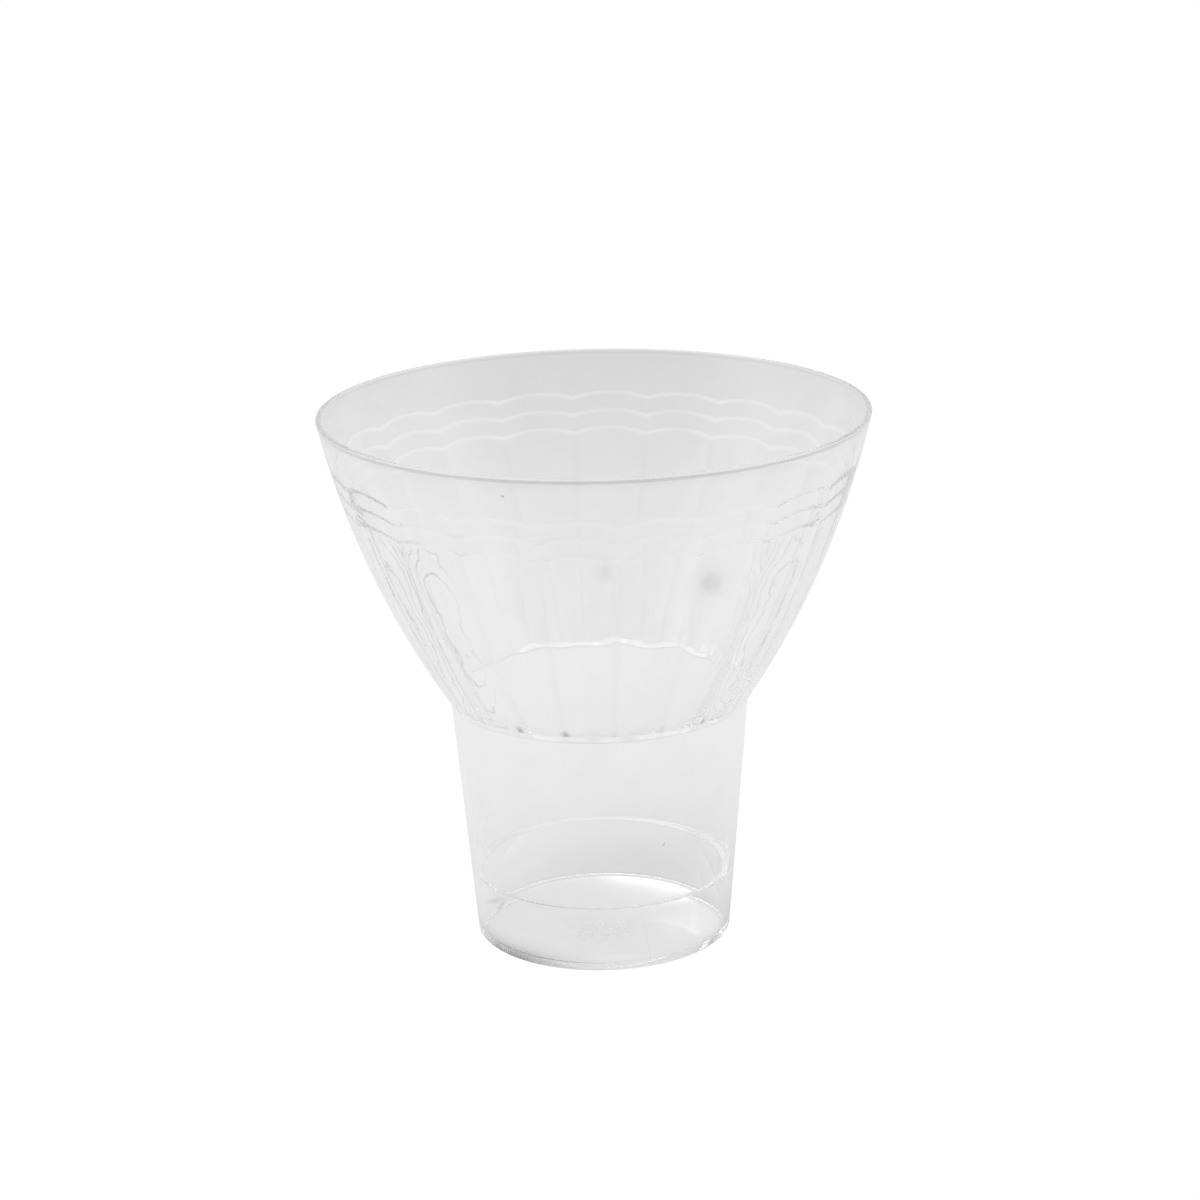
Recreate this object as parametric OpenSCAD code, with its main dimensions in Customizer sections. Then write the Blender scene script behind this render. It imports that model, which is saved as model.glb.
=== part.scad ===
// Parfait cup in clear rigid plastic: a wide fluted bowl on a tubular foot.
// The frame's origin is on the table, in the middle of the foot, and +Z runs up the cup.

/* [Cup] */
// Height of the cup, from the table to the top of the lip
cup_h = 89.6; // [80:0.1:110]
// Outer radius at the lip
rim_r = 45; // [40:0.1:52]
// Height of the waist, the line where the bowl meets the foot
waist_z = 40.75; // [34:0.05:46]
// Outer radius at the waist
waist_r = 24.72; // [23.5:0.02:27]
// Outer radius of the foot at the table
base_r = 21.3; // [19.5:0.1:23]

/* [Bowl] */
// Wall of the bowl above the steps, measured square to it
lip_wall = 0.8; // [0.7:0.05:1.2]
// Wall of the bowl at the waist in the middle of a flute, measured square to it
waist_wall = 1.45; // [1.2:0.05:1.7]
// Radius that rounds the lip's outer edge
lip_round = 0.25; // [0.1:0.05:0.3]
// Size of the bevel on the lip's inner edge
lip_bevel = 0.28; // [0.1:0.02:0.3]
// Distance from the top of the lip down to the crown of the first step
lip_band = 6.8; // [5:0.1:10]

/* [Steps] */
// Number of scalloped steps inside the bowl
step_count = 3; // [1:1:4]
// Distance from one step down to the next
step_pitch = 2.95; // [2:0.05:4]
// Width of one step's tread
step_w = 0.07; // [0.05:0.01:0.2]
// Fall of one step's tread towards the middle of the bowl
step_fall = 0.6; // [0.1:0.05:0.9]
// Rise of a step's arch over each flute
step_arch = 0.9; // [0.4:0.1:1.4]

/* [Flutes] */
// Number of flutes round the inside of the bowl
flute_count = 20; // [12:1:28]
// Height of the ridges that part the flutes, where the flutes run out above the waist
ridge_h = 0.4; // [0.3:0.05:0.8]
// Height of the same ridges at their upper end, under the steps
ridge_top_h = 0.2; // [0.1:0.05:0.3]
// Angle of the first ridge, counted from +X
ridge_turn = 5; // [0:1:30]

/* [Shoulder] */
// Height of the shoulder's lower edge above the waist, at a ridge
shoulder_rise = 1.6; // [1.2:0.05:2]
// Drop of that edge from a ridge to the middle of a flute
shoulder_dip = 0.25; // [0.15:0.05:0.6]

/* [Foot] */
// Wall of the foot at the waist
foot_wall = 1.2; // [1:0.05:1.8]
// Wall of the foot just above the sill
sill_wall = 0.9; // [0.7:0.05:1.4]
// Wall of the foot at the floor
base_wall = 1.5; // [1.2:0.05:2.2]
// Height of the sill, the ledge inside the foot on which the next cup of a stack rests
sill_z = 11.05; // [8:0.05:15]
// Width of the sill
sill_w = 1.3; // [1:0.05:1.6]
// Fall of the sill towards the middle of the foot
sill_fall = 0.1; // [0.05:0.05:0.5]
// Thickness of the floor
floor_t = 0.9; // [0.7:0.1:1.6]
// Rise of the floor, over and under, from its edge to its middle
floor_crown = 0.3; // [0.1:0.05:0.6]
// Radius of the fillet between the floor and the wall
floor_fillet = 0.4; // [0.2:0.1:2]

/* [Base] */
// Width of the ring that the foot stands on, from the shallow dish under the floor to the wall
ring_w = 3.5; // [2.5:0.1:6]
// Radius that rounds the foot's bottom edge
base_round = 0.3; // [0.2:0.05:0.6]

/* [Hidden] */
clear_plastic = [0.90, 0.92, 0.93, 0.45];
// Lean of the bowl's outer wall, radius gained for each unit of height
waist_lean_share = 0.65;
rim_lean_share = 0.22;
// Lean of the shoulder, radius gained for each unit of height
shoulder_lean_share = 0.8;
// Rings and columns of the wall's curves
bowl_rings = 16;
flute_rings = 7;
lip_rings = 2;
flute_cols = 6;
round_steps = 4;
crown_steps = 6;
turn_fn = 160;
join_rounds = 40;
overrun = 1.5;
bowl_h = cup_h - waist_z;
wall_gain = waist_wall - lip_wall - step_count * step_w;
foot_lean = (waist_r - base_r) / waist_z;
lip_edge_z = cup_h - lip_bevel;
shoulder_z = waist_z + shoulder_rise;
shoulder_foot_z = waist_z + shoulder_rise / 4;
dish_r = base_r - ring_w;

// The bowl's outer radius at height z: a cubic that keeps the waist's and the lip's lean
function rise(z) = (z - waist_z) / bowl_h;
function bowl_out(z) =
    let (s = rise(z))
    waist_r * (2 * s ^ 3 - 3 * s ^ 2 + 1)
    + waist_lean_share * bowl_h * (s ^ 3 - 2 * s ^ 2 + s)
    + rim_r * (3 * s ^ 2 - 2 * s ^ 3)
    + rim_lean_share * bowl_h * (s ^ 3 - s ^ 2);

// Lean of that wall at height z
function bowl_lean(z) =
    let (s = rise(z))
    (rim_r - waist_r) / bowl_h * (6 * s - 6 * s ^ 2)
    + waist_lean_share * (3 * s ^ 2 - 4 * s + 1)
    + rim_lean_share * (3 * s ^ 2 - 2 * s);

// The foot's outer radius at height z
function foot_out(z) = base_r + foot_lean * z;

// The foot's inner radius above the sill: the wall thickens evenly from there to the waist
function bore(z) =
    foot_out(z) - sill_wall
    - (foot_wall - sill_wall) * (z - sill_z) / (waist_z - sill_z);

// The bowl's inner radius at height z, under a number of steps. u runs over one flute,
// from -1 at one ridge through 0 in the trough to 1 at the next.
function bowl_in(z, u, steps) =
    let (down = (cup_h - lip_band - z) / (cup_h - lip_band - waist_z))
    bowl_out(z)
    - (lip_wall + steps * step_w + wall_gain * max(0, down)) * sqrt(1 + bowl_lean(z) ^ 2)
    - (ridge_top_h + (ridge_h - ridge_top_h) * down) * steps / step_count * u ^ 2;

// Height of step n's outer edge, counted down from the lip: an arch over each flute
function step_z(n, u) = cup_h - lip_band - (n - 1) * step_pitch - step_arch * u ^ 2;

// Height of the shoulder's lower edge, which hangs lower in the middle of each flute
function edge_z(u) = shoulder_z - shoulder_dip * (1 - u ^ 2);

// The shoulder's radius at height z: a cone that leans out from the edge of the bore
function shoulder(z, u) = bore(edge_z(u)) + shoulder_lean_share * (z - edge_z(u));

// Height where a flute meets the shoulder, closer with each round
function join_z(u, rounds) =
    rounds == 0 ? shoulder_z :
    let (z = join_z(u, rounds - 1))
    edge_z(u) + (bowl_in(z, u, step_count) - bore(edge_z(u))) / shoulder_lean_share;

// One upright line of points on the bowl's inside, as [radius, height], from the shoulder up
function flute_line(u) =
    let (low = join_z(u, join_rounds), top = step_z(step_count, u) - step_fall)
    concat(
        [[shoulder(shoulder_foot_z, u), shoulder_foot_z]],
        [for (i = [0 : flute_rings - 1])
            let (z = low + (top - low) * i / flute_rings)
            [bowl_in(z, u, step_count), z]],
        [for (n = [step_count : -1 : 1], side = [1, 0])
            let (z = step_z(n, u) - side * step_fall)
            [bowl_in(z, u, n - 1 + side), z]],
        [for (i = [1 : lip_rings])
            let (z = step_z(1, u) + (lip_edge_z - step_z(1, u)) * i / lip_rings)
            [bowl_in(z, u, 0), z]],
        [for (z = [cup_h, cup_h + overrun])
            [bowl_in(lip_edge_z, u, 0) + lip_bevel, z]]
    );

// Points of a quarter round, from start to start + 90 degrees
function quarter(centre, radius, start) =
    [for (i = [0 : round_steps])
        let (a = start + 90 * i / round_steps)
        centre + radius * [cos(a), sin(a)]];

// The fluted space inside the bowl, as one closed solid
module flute_core() {
    columns = flute_count * flute_cols;
    lines = [for (c = [0 : columns - 1]) flute_line(2 * (c % flute_cols) / flute_cols - 1)];
    rings = len(lines[0]);
    corners = [for (k = [0 : rings - 1], c = [0 : columns - 1])
        let (a = ridge_turn + 360 * c / columns, p = lines[c][k])
        [p[0] * cos(a), p[0] * sin(a), p[1]]];
    walls = [for (k = [0 : rings - 2], c = [0 : columns - 1], half = [0, 1])
        let (d = (c + 1) % columns, low = k * columns, high = low + columns)
        half == 0 ? [low + c, high + c, high + d] : [low + c, high + d, low + d]];
    floor_face = [for (c = [0 : columns - 1]) c];
    top_face = [for (c = [0 : columns - 1]) rings * columns - 1 - c];
    polyhedron(points = corners, faces = concat(walls, [floor_face, top_face]), convexity = 4);
}

// The foot's bore, carried up past the waist until the shoulder is wider
module throat() {
    low_z = waist_z - overrun;
    high_z = shoulder_z + shoulder_rise / 4;
    translate([0, 0, low_z])
        cylinder(h = high_z - low_z, r1 = bore(low_z), r2 = bore(high_z), $fn = turn_fn);
}

// Fluted bowl, from the waist to the lip
module bowl() {
    lip_z = cup_h - lip_round;
    curve = [for (i = [0 : bowl_rings])
        let (z = waist_z + (lip_z - waist_z) * i / bowl_rings)
        [bowl_out(z), z]];
    lip = quarter([bowl_out(lip_z) - lip_round, lip_z], lip_round, 0);
    color(clear_plastic)
        difference() {
            rotate_extrude($fn = turn_fn)
                polygon(concat(
                    [[0, waist_z]],
                    curve,
                    [for (i = [1 : round_steps]) lip[i]],
                    [[0, cup_h]]
                ));
            flute_core();
            throat();
        }
}

// Tubular foot, from the table to the waist, with the floor
module foot() {
    fillet_z = floor_t + floor_fillet;
    low_r = foot_out(floor_t) - base_wall;
    corner = quarter([foot_out(base_round) - base_round, base_round], base_round, 270);
    fillet = quarter([low_r - floor_fillet, fillet_z], floor_fillet, 270);
    crown_r = low_r - floor_fillet;
    color(clear_plastic)
        rotate_extrude($fn = turn_fn)
            polygon(concat(
                [for (i = [0 : crown_steps])
                    let (share = i / crown_steps)
                    [dish_r * share, floor_crown * (1 - share ^ 2)]],
                corner,
                [
                    [waist_r, waist_z],
                    [bore(waist_z), waist_z],
                    [bore(sill_z), sill_z],
                    [bore(sill_z) - sill_w, sill_z - sill_fall]
                ],
                [for (i = [round_steps : -1 : 0]) fillet[i]],
                [for (i = [crown_steps - 1 : -1 : 0])
                    let (share = i / crown_steps)
                    [crown_r * share, floor_t + floor_crown * (1 - share ^ 2)]]
            ));
}

bowl();
foot();
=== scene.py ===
# %% [markdown]
# # A clear parfait cup
# The real cup is one thin moulded wall of clear rigid plastic: a wide bowl with faint flutes inside,
# on a hollow foot that opens into the bowl. Clear things show nothing but what their two surfaces do
# to the light behind them, so the whole look hangs on the wall's exact shape, inside and out.
# It could be made by turning a profile with a Screw modifier and adding the flutes with a boolean,
# but that leaves long thin triangles that show as scratches once light is bent through them. Here
# the wall is worked out as one closed surface with numpy instead, so every point lies exactly where
# its formula says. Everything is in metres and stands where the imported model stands.

import bpy
import numpy as np
from mathutils import Matrix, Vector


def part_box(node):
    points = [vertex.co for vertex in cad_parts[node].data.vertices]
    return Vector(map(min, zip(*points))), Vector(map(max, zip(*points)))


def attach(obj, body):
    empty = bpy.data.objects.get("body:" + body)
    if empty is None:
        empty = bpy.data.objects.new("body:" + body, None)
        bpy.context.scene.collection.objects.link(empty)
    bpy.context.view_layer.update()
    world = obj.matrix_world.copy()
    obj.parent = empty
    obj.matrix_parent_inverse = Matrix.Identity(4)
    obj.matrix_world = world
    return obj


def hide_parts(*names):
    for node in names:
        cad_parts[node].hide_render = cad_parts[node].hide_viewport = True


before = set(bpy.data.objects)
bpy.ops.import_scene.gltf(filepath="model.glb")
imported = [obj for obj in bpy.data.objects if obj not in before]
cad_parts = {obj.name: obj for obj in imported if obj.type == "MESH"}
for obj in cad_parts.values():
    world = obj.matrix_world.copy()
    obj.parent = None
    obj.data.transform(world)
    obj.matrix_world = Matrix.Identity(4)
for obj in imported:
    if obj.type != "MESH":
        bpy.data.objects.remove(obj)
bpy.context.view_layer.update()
print("packed nodes:", sorted(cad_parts))

# %% [markdown]
# ## Sizes
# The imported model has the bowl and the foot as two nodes. The height and the waist are read from the
# boxes of those nodes, so the wall can't drift away from them. They could be typed in again, but then
# a change to the model would leave this wall behind. The radii at the lip and the base are typed in,
# because the lip's rounding and the foot's taper hide them from the boxes. The rest are the small
# sizes of a moulded wall: its thickness, its steps, its flutes and its roundings.

# %% Sizes from the frame, and the wall's own
MM = 0.001

bowl_low, bowl_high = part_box("bowl")
foot_low, foot_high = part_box("foot")
CUP_H = bowl_high.z
WAIST_Z = foot_high.z
WAIST_R = foot_high.x
RIM_R = 45.0 * MM
BASE_R = 21.3 * MM
BOWL_H = CUP_H - WAIST_Z
FOOT_LEAN = (WAIST_R - BASE_R) / WAIST_Z
WAIST_LEAN = 0.65
RIM_LEAN = 0.22

LIP_WALL = 0.8 * MM
LIP_ROUND = 0.25 * MM
LIP_INNER = 0.2 * MM
LIP_DROP = 0.1 * MM
LIP_BAND = 6.8 * MM
WAIST_WALL = 1.45 * MM
STEP_COUNT = 3
STEP_PITCH = 2.95 * MM
STEP_W = 0.07 * MM
STEP_FALL = 0.9 * MM
STEP_ARCH = 0.9 * MM
FLUTE_COUNT = 20
RIDGE_TOP = 0.2 * MM
RIDGE_LOW = 0.4 * MM
RIDGE_SOFT = 0.15
BEAD = 0.04 * MM
BEAD_WIDTH = 0.12
SHOULDER_Z = WAIST_Z + 1.6 * MM
SHOULDER_LEAN = 0.8
SHOULDER_DIP = 0.25 * MM
WAVE = 0.01 * MM
FINE_WAVE = 0.003 * MM
WAVE_BEND = 3
WAVE_CALM = 3 * MM
WAVE_FULL = 6 * MM
WAVE_LEAST = 0.3
RIDGE_TURN = np.radians(5)

FOOT_WALL = 1.2 * MM
SILL_WALL = 0.9 * MM
SILL_W = 1.3 * MM
BASE_WALL = 1.5 * MM
SILL_Z = 11.05 * MM
SILL_FALL = 0.1 * MM
FLOOR_T = 0.9 * MM
FLOOR_CROWN = 0.3 * MM
FLOOR_FILLET = 0.4 * MM
DISH_R = 17.8 * MM
BASE_ROUND = 0.3 * MM
WAIST_ROUND = 1.2 * MM
SILL_HOLLOW = 0.3 * MM
SILL_ROUND = 0.3 * MM
FLOOR_CORNER = 0.2 * MM
CORNER_RUN = 0.6 * MM
LIP_RUN = 0.5 * MM
LIP_DEPTH = 0.3 * MM
LIP_TAPER = 0.06 * MM
print(f"cup {CUP_H / MM:.1f} mm high, {2 * RIM_R / MM:.0f} mm wide at the lip")
print(f"waist at {WAIST_Z / MM:.2f} mm, waist radius {WAIST_R / MM:.2f} mm")

# %% [markdown]
# ## The wall as functions of height
# The bowl's outside flares fast above the waist and stands nearly upright at the lip. One cubic curve
# says that with four numbers: a radius and a lean at each end. The inside could be an offset mesh from
# a Solidify modifier, but the real wall isn't even: it is thin at the lip, gains a little at each of
# the three steps, and is thickest at the waist. So the inside is a formula too: the outer radius, less
# a wall measured square to the surface, less the low ridges that part the flutes. A moulded wall is
# never quite true either, and two sets of slow sine waves give it that unevenness.


# %% Radius functions
def foot_out(z):
    """The foot's outer radius: the base radius, plus the lean times the height."""
    return BASE_R + FOOT_LEAN * z


def bowl_out(z):
    """The bowl's outer radius: a cubic Hermite curve in height, from a radius and a lean at each
    end."""
    s = (z - WAIST_Z) / BOWL_H
    return (
        WAIST_R * (2 * s**3 - 3 * s**2 + 1)
        + WAIST_LEAN * BOWL_H * (s**3 - 2 * s**2 + s)
        + RIM_R * (3 * s**2 - 2 * s**3)
        + RIM_LEAN * BOWL_H * (s**3 - s**2)
    )


def bowl_lean(z):
    """The lean of that curve: its first derivative in height."""
    s = (z - WAIST_Z) / BOWL_H
    return (
        (RIM_R - WAIST_R) / BOWL_H * (6 * s - 6 * s**2)
        + WAIST_LEAN * (3 * s**2 - 4 * s + 1)
        + RIM_LEAN * (3 * s**2 - 2 * s)
    )


def ease(x):
    """Zero below 0, one above 1, and the smooth cubic 3x^2 - 2x^3 between."""
    x = np.clip(x, 0, 1)
    return x * x * (3 - 2 * x)


def step_z(n, u):
    """Height of step n's outer edge: its crown's height less an arch that falls as u squared."""
    return CUP_H - LIP_BAND - (n - 1) * STEP_PITCH - STEP_ARCH * u**2


def sines(z, waves):
    """Sine waves added up. Each is a strength, its waves in a turn round the cup, its rate up the
    cup in radians a metre, and its phase."""
    a = angles[None, :]
    return sum(strength * np.sin(n * a + rate * z + phase) for strength, n, rate, phase in waves)


def waviness(z):
    """The slow unevenness that a moulded wall has: three broad sines, and two fine ones, the first
    of which is bent by a fourth broad one. It is weaker near the waist, and a single row of heights,
    such as the join's, gets none."""
    if z.ndim < 2:
        return 0
    broad = sines(z, [(1.0, 9, 420, 1.0), (0.7, 17, -650, 2.2), (0.5, 31, 900, 0.0)])
    bend = sines(z, [(WAVE_BEND, 3, 260, 0.0)])
    fine = sines(z, [(1.0, 58, 180, bend), (0.6, 83, -240, 1.3)])
    full = ease((z - WAIST_Z - WAVE_CALM) / WAVE_FULL)
    return (WAVE * broad + FINE_WAVE * fine) * (WAVE_LEAST + (1 - WAVE_LEAST) * full)


def bowl_in(z, u):
    """The bowl's inner radius: the outer one, less the wall square to it, less the ridge. The ridge
    grows as u squared, is rounded at its crest and carries a thin bead there. Each step passed on
    the way down adds its width to the wall and its share to the ridge."""
    steps = sum(ease((step_z(n, u) - z) / STEP_FALL) for n in range(1, STEP_COUNT + 1))
    down = np.clip((CUP_H - LIP_BAND - z) / (CUP_H - LIP_BAND - WAIST_Z), 0, 1)
    wall = LIP_WALL + steps * STEP_W + (WAIST_WALL - LIP_WALL - STEP_COUNT * STEP_W) * down
    wall = wall * np.sqrt(1 + bowl_lean(z) ** 2)
    ridge = RIDGE_TOP + (RIDGE_LOW - RIDGE_TOP) * down
    side = np.sqrt((1 - np.abs(u)) ** 2 + RIDGE_SOFT**2) - RIDGE_SOFT
    bead = BEAD * np.exp(-((side / BEAD_WIDTH) ** 2))
    return bowl_out(z) - wall - (ridge * (1 - side) ** 2 + bead + waviness(z)) * steps / STEP_COUNT


def shoulder(z, u):
    """The shoulder between the flutes and the bore: a cone that leans out fast from the bore's
    upper edge, which dips under each trough."""
    edge = SHOULDER_Z - SHOULDER_DIP * (1 - u**2)
    return bore(edge) + SHOULDER_LEAN * (z - edge)


def bore(z):
    """The foot's inner radius above the sill: the outer cone less a wall that thickens evenly from
    the sill to the waist, carried on upwards."""
    return foot_out(z) - SILL_WALL - (FOOT_WALL - SILL_WALL) * (z - SILL_Z) / (WAIST_Z - SILL_Z)


# %% [markdown]
# ## Columns and rows
# The wall is one grid of points. Each column is a cut through the wall at one angle. It runs from
# under the middle of the floor, up the outside, over the lip, down the inside and back to the middle
# of the floor. Evenly spaced columns would do for a plain cup, but the crests between the flutes are
# narrow, and light shows up every flat facet on them, so the columns crowd together there. Corners
# are rounded by true arcs, with two guard points beside each, because smooth shading otherwise
# spreads a corner's turn over the straight wall next to it.


# %% Columns and rows
COLS_PER_FLUTE = 16
ARC_TURN = np.radians(9)
GUARD = 0.04 * MM
KNIFE_MIN = 0.06 * MM
EDGE_SOFT = 0.05 * MM
JOIN_REACH = 6 * MM
JOIN_HALVINGS = 40
ARC_LEAST = 3


def flute_columns():
    """Angle and u of every column. In each flute s runs evenly from -1 to 1, and u is
    s times (3 - s squared) over 2, which crowds the columns towards the ridges at u = -1 and 1."""
    s = np.tile(np.linspace(-1, 1, COLS_PER_FLUTE, endpoint=False), FLUTE_COUNT)
    flute = np.repeat(np.arange(FLUTE_COUNT), COLS_PER_FLUTE)
    u = s * (3 - s**2) / 2
    angle = RIDGE_TURN + (flute + 0.5 + u / 2) * 2 * np.pi / FLUTE_COUNT
    return angle, u


def filleted(corners, radii):
    """A line of (radius, height) points through corners, each corner replaced by the arc of its
    radius that touches both sides. Two more points stand just off the arc's ends, so that the
    shading of the straight runs stays true right up to it."""
    points = [np.array(corners[0], float)]
    for before, here, after, radius in zip(corners, corners[1:], corners[2:], radii):
        before, here, after = (np.array(p, float) for p in (before, here, after))
        back = (before - here) / np.linalg.norm(before - here)
        on = (after - here) / np.linalg.norm(after - here)
        half = np.arccos(np.clip(back @ on, -1, 1)) / 2
        reach = radius / np.tan(half)
        turn = np.pi - 2 * half
        bisector = (back + on) / np.linalg.norm(back + on)
        centre = here + bisector * radius / np.sin(half)
        start = here + back * reach - centre
        end = here + on * reach - centre
        points.append(centre + start + back * GUARD)
        for t in np.linspace(0, 1, max(ARC_LEAST, int(np.ceil(turn / ARC_TURN))) + 1):
            arc = np.sin((1 - t) * turn) * start + np.sin(t * turn) * end
            points.append(centre + arc / np.sin(turn))
        points.append(centre + end + on * GUARD)
    points.append(np.array(corners[-1], float))
    return np.array(points)


def spaced(points, pitch):
    """The same line with further points, evenly set so that none are more than pitch apart."""
    out = [points[:1]]
    for a, b in zip(points, points[1:]):
        n = max(1, int(np.ceil(np.linalg.norm(b - a) / pitch)))
        t = np.linspace(0, 1, n + 1)[1:, None]
        out.append(a + (b - a) * t)
    return np.concatenate(out)


def soft_min(a, b, knife):
    """The smaller of a and b, rounded where they cross: half of a + b - sqrt((a - b)^2 + knife^2)."""
    return 0.5 * (a + b - np.sqrt((a - b) ** 2 + knife**2))


def junction_z(u):
    """Height where a flute meets the shoulder, by halving the gap between a height below it and one
    above it, over and over."""
    low = np.full_like(u, WAIST_Z)
    high = np.full_like(u, WAIST_Z + JOIN_REACH)
    for _ in range(JOIN_HALVINGS):
        middle = (low + high) / 2
        wider = shoulder(middle, u) > bowl_in(middle, u)
        high = np.where(wider, middle, high)
        low = np.where(wider, low, middle)
    return (low + high) / 2


angles, u = flute_columns()
n_cols = len(angles)
z_join = junction_z(u)
print(f"{n_cols} columns; the flutes run out at {z_join.min() / MM:.2f} to {z_join.max() / MM:.2f} mm")

# %% [markdown]
# ## The outline of the wall
# The outside, the lip, the foot's bore and the floor are the same at every angle, so they are plain
# lines of points. The fluted inside isn't: its steps rise in an arch over every flute, and its lower
# edge dips in the middle of each. A level row of points would cut across those arches and turn them
# into saw teeth, so the rows there follow the arches instead. The last rows lie just above, on and
# under the edge where the bowl's shoulder breaks into the bore, which the photograph shows as one
# fine dark line.


# %% Outline of the wall
DISH_ROWS = 11
FOOT_ROWS = 14
BOWL_ROWS = 40
BETWEEN_ROWS = 5
STEP_ROWS = 9
FLUTE_ROWS = 45
JOIN_ROWS = 15
FLOOR_ROWS = 16
FOOT_PITCH = 1.5 * MM
BORE_PITCH = 1.2 * MM
INNER_TOP = 0.9 * MM
STEP_ABOVE = 0.06 * MM
STEP_EDGE = 0.02 * MM
JOIN_ABOVE = 0.5 * MM
JOIN_FAR = 2 * MM
JOIN_NEAR = 1 * MM
EDGE_TURN = 0.15


def outside_line():
    """Points from under the floor's middle, round the standing ring and up the outside to the lip."""
    r = np.linspace(0, DISH_R, DISH_ROWS)
    dish = np.stack([r, FLOOR_CROWN * (1 - (r / DISH_R) ** 2)], 1)
    low = filleted([(DISH_R, 0), (foot_out(0), 0), (foot_out(SILL_Z), SILL_Z)], [BASE_ROUND])[1:]
    z = np.linspace(SILL_Z, WAIST_Z - CORNER_RUN, FOOT_ROWS)[1:]
    foot = np.stack([foot_out(z), z], 1)
    above = WAIST_Z + CORNER_RUN
    corner = filleted([foot[-1], (WAIST_R, WAIST_Z), (bowl_out(above), above)], [WAIST_ROUND])[1:]
    z = np.linspace(above, CUP_H - LIP_RUN, BOWL_ROWS)[1:]
    bowl = np.stack([bowl_out(z), z], 1)
    return np.concatenate([dish, spaced(low, FOOT_PITCH), foot, corner, bowl])


def lip_line():
    """Points over the lip, from the outside at its top to the inside: a rounded, slightly flat top."""
    start = CUP_H - LIP_RUN
    end = start - LIP_DEPTH
    inner = bowl_in(np.array([end]), np.array([0.0]))[0]
    return filleted(
        [
            (bowl_out(start), start),
            (bowl_out(CUP_H), CUP_H),
            (inner + LIP_TAPER, CUP_H - LIP_DROP),
            (inner, end),
        ],
        [LIP_ROUND, LIP_INNER],
    )[1:-1]


def inner_rows():
    """Radius and height of every row of the fluted inside, from the lip down past the join. Rows
    between two steps keep their share of the way from one arch to the next."""
    top = np.full_like(u, CUP_H - INNER_TOP)
    heights = [top]
    for n in range(1, STEP_COUNT + 1):
        edge = step_z(n, u)
        for share in np.linspace(0, 1, BETWEEN_ROWS)[1:]:
            heights.append(top + (edge + STEP_ABOVE - top) * share)
        for share in np.linspace(0, 1, STEP_ROWS):
            heights.append(edge + STEP_EDGE - (STEP_FALL + 2 * STEP_EDGE) * share)
        top = heights[-1]
    bottom = z_join + JOIN_ABOVE
    for share in np.linspace(0, 1, FLUTE_ROWS)[1:]:
        heights.append(top + (bottom - top) * share)
    edge = SHOULDER_Z - SHOULDER_DIP * (1 - u**2)
    for share in np.linspace(0, 1, JOIN_ROWS)[1:]:
        heights.append(bottom + (edge + 2 * EDGE_SOFT - bottom) * share)
    z = np.stack(heights)
    wide = bowl_in(z, u[None, :])
    slope = shoulder(z, u[None, :])
    near = ease((z_join[None, :] + JOIN_FAR - z) / JOIN_NEAR)
    r = wide + (soft_min(wide, slope, KNIFE_MIN) - wide) * near
    low = np.stack([edge + EDGE_SOFT * k for k in (1, 0, -1, -2)])
    turned = np.array([0, EDGE_SOFT * EDGE_TURN, 0, 0])[:, None]
    low_r = np.maximum(shoulder(low, u[None, :]), bore(low)) + turned
    r, z = np.concatenate([r, low_r]), np.concatenate([z, low])
    return r, z


def bore_line():
    """Points down the foot's bore, over the sill, down to the fillet and in to the floor's middle."""
    low_r = foot_out(FLOOR_T) - BASE_WALL
    line = filleted(
        [
            (bore(WAIST_Z), WAIST_Z),
            (bore(SILL_Z), SILL_Z),
            (bore(SILL_Z) - SILL_W, SILL_Z - SILL_FALL),
            (low_r, FLOOR_T),
            (low_r - FLOOR_FILLET - FLOOR_CORNER, FLOOR_T),
        ],
        [SILL_HOLLOW, SILL_ROUND, FLOOR_FILLET],
    )[:-1]
    share = np.linspace(1, 0, FLOOR_ROWS)[1:]
    floor = np.stack([share * line[-1, 0], FLOOR_T + FLOOR_CROWN * (1 - share**2)], 1)
    return np.concatenate([spaced(line, BORE_PITCH), floor])


def whole_grid():
    """Radius and height grids, one row per point of the cut and one column per angle."""
    ones = np.ones(n_cols)
    parts = []
    for line in (outside_line(), lip_line()):
        parts.append((line[:, :1] * ones, line[:, 1:] * ones))
    parts.append(inner_rows())
    down = bore_line()
    parts.append((down[:, :1] * ones, down[:, 1:] * ones))
    return np.concatenate([p[0] for p in parts]), np.concatenate([p[1] for p in parts])


r_grid, z_grid = whole_grid()
print("grid:", r_grid.shape, "rows and columns")

# %% [markdown]
# ## From the grid to a mesh
# The first and last rows have no radius, so each becomes one point on the axis with a fan of
# triangles, and quads join all the rows between. The surface is closed, and its faces look out of the
# plastic. Both matter here more than on a solid colour: the renderer decides from them whether a ray
# is in air or in plastic. One closed wall stands for both nodes, because the real cup shows no joint
# at the waist, and two bodies that touch would show a mirror-like gap between them.


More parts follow.
